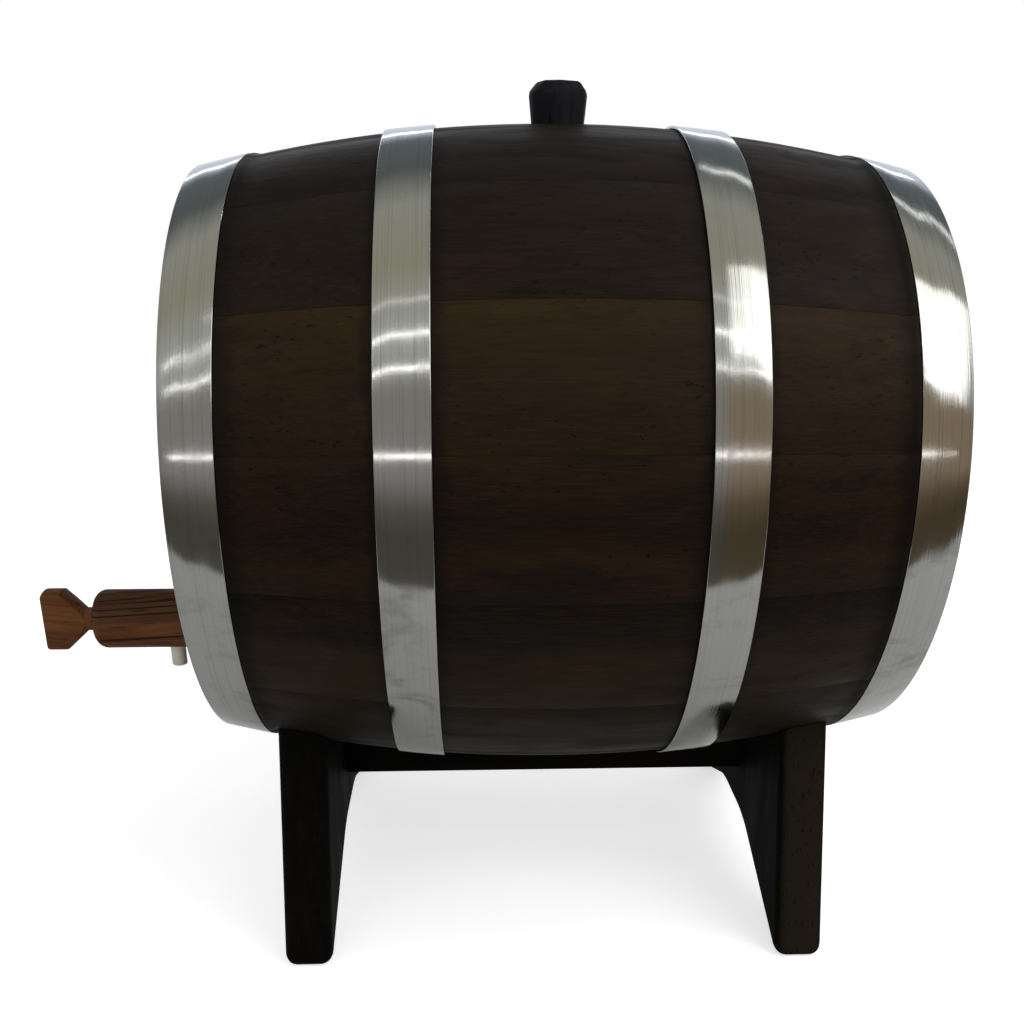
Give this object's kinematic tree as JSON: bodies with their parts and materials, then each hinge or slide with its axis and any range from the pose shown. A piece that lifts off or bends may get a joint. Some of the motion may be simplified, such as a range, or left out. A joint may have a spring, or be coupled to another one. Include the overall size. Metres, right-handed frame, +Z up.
{
  "type": "oak cask drink dispenser",
  "caption": "Small horizontal oak cask with steel hoops, a bung, a wooden tap with a turning key and a two-board cradle stand.",
  "frame": {"origin": "on the table, under the middle of the whole object", "axes": "+Z up; -X towards the tap end; -Y towards the side that the picture shows"},
  "size_m": [0.3895, 0.28, 0.3665],
  "materials": {
    "stained_oak": "dark stained, open grained oak with worn lighter patches",
    "head_oak": "dark stained oak head boards",
    "hoop_steel": "brushed round the hoop, lightly stained",
    "dark_wood": "near-black stained wood",
    "tap_wood": "bare reddish wood with dark open pores along the grain",
    "pin_wood": "bare dowel",
    "cork": "natural cork",
    "spout_plastic": "off-white tube",
    "screw_steel": "zinc plated"
  },
  "bodies": {
    "stand": {"front_cradle_board": "dark_wood", "back_cradle_board": "dark_wood", "stretcher": "dark_wood", "stand_screws": "screw_steel"},
    "cask": {"bung_stave": "stained_oak", "stave_02": "stained_oak", "stave_03": "stained_oak", "stave_04": "stained_oak", "stave_05": "stained_oak", "stave_06": "stained_oak", "stave_07": "stained_oak", "stave_08": "stained_oak", "stave_09": "stained_oak", "stave_10": "stained_oak", "stave_11": "stained_oak", "stave_12": "stained_oak", "stave_13": "stained_oak", "stave_14": "stained_oak", "stave_15": "stained_oak", "stave_16": "stained_oak", "front_head_board_1": "head_oak", "front_head_board_2": "head_oak", "front_head_board_3": "head_oak", "front_head_board_4": "head_oak", "front_head_board_5": "head_oak", "back_head_board_1": "head_oak", "back_head_board_2": "head_oak", "back_head_board_3": "head_oak", "back_head_board_4": "head_oak", "back_head_board_5": "head_oak", "front_head_dowels": "head_oak", "back_head_dowels": "head_oak", "front_chime_hoop": "hoop_steel", "front_bilge_hoop": "hoop_steel", "back_bilge_hoop": "hoop_steel", "back_chime_hoop": "hoop_steel", "hoop_rivets": "hoop_steel", "tap_body": "tap_wood", "tap_liner": "cork", "tap_key_pin": "pin_wood", "tap_spout": "spout_plastic"},
    "bung": {"bung": "dark_wood"},
    "key": {"tap_key": "tap_wood"}
  },
  "joints": [
    {"name": "cask_lift", "type": "slide", "parent": "stand", "child": "cask", "axis": [0, 0, 1], "range_m": [0, 0.1]},
    {"name": "bung_lift", "type": "slide", "parent": "cask", "child": "bung", "axis": [0, 0, 1], "range_m": [0, 0.045]},
    {"name": "key_turn", "type": "hinge", "parent": "cask", "child": "key", "pos_m": [-0.17025, 0, 0.13154], "axis": [1, 0, 0], "range_deg": [0, 90]}
  ]
}
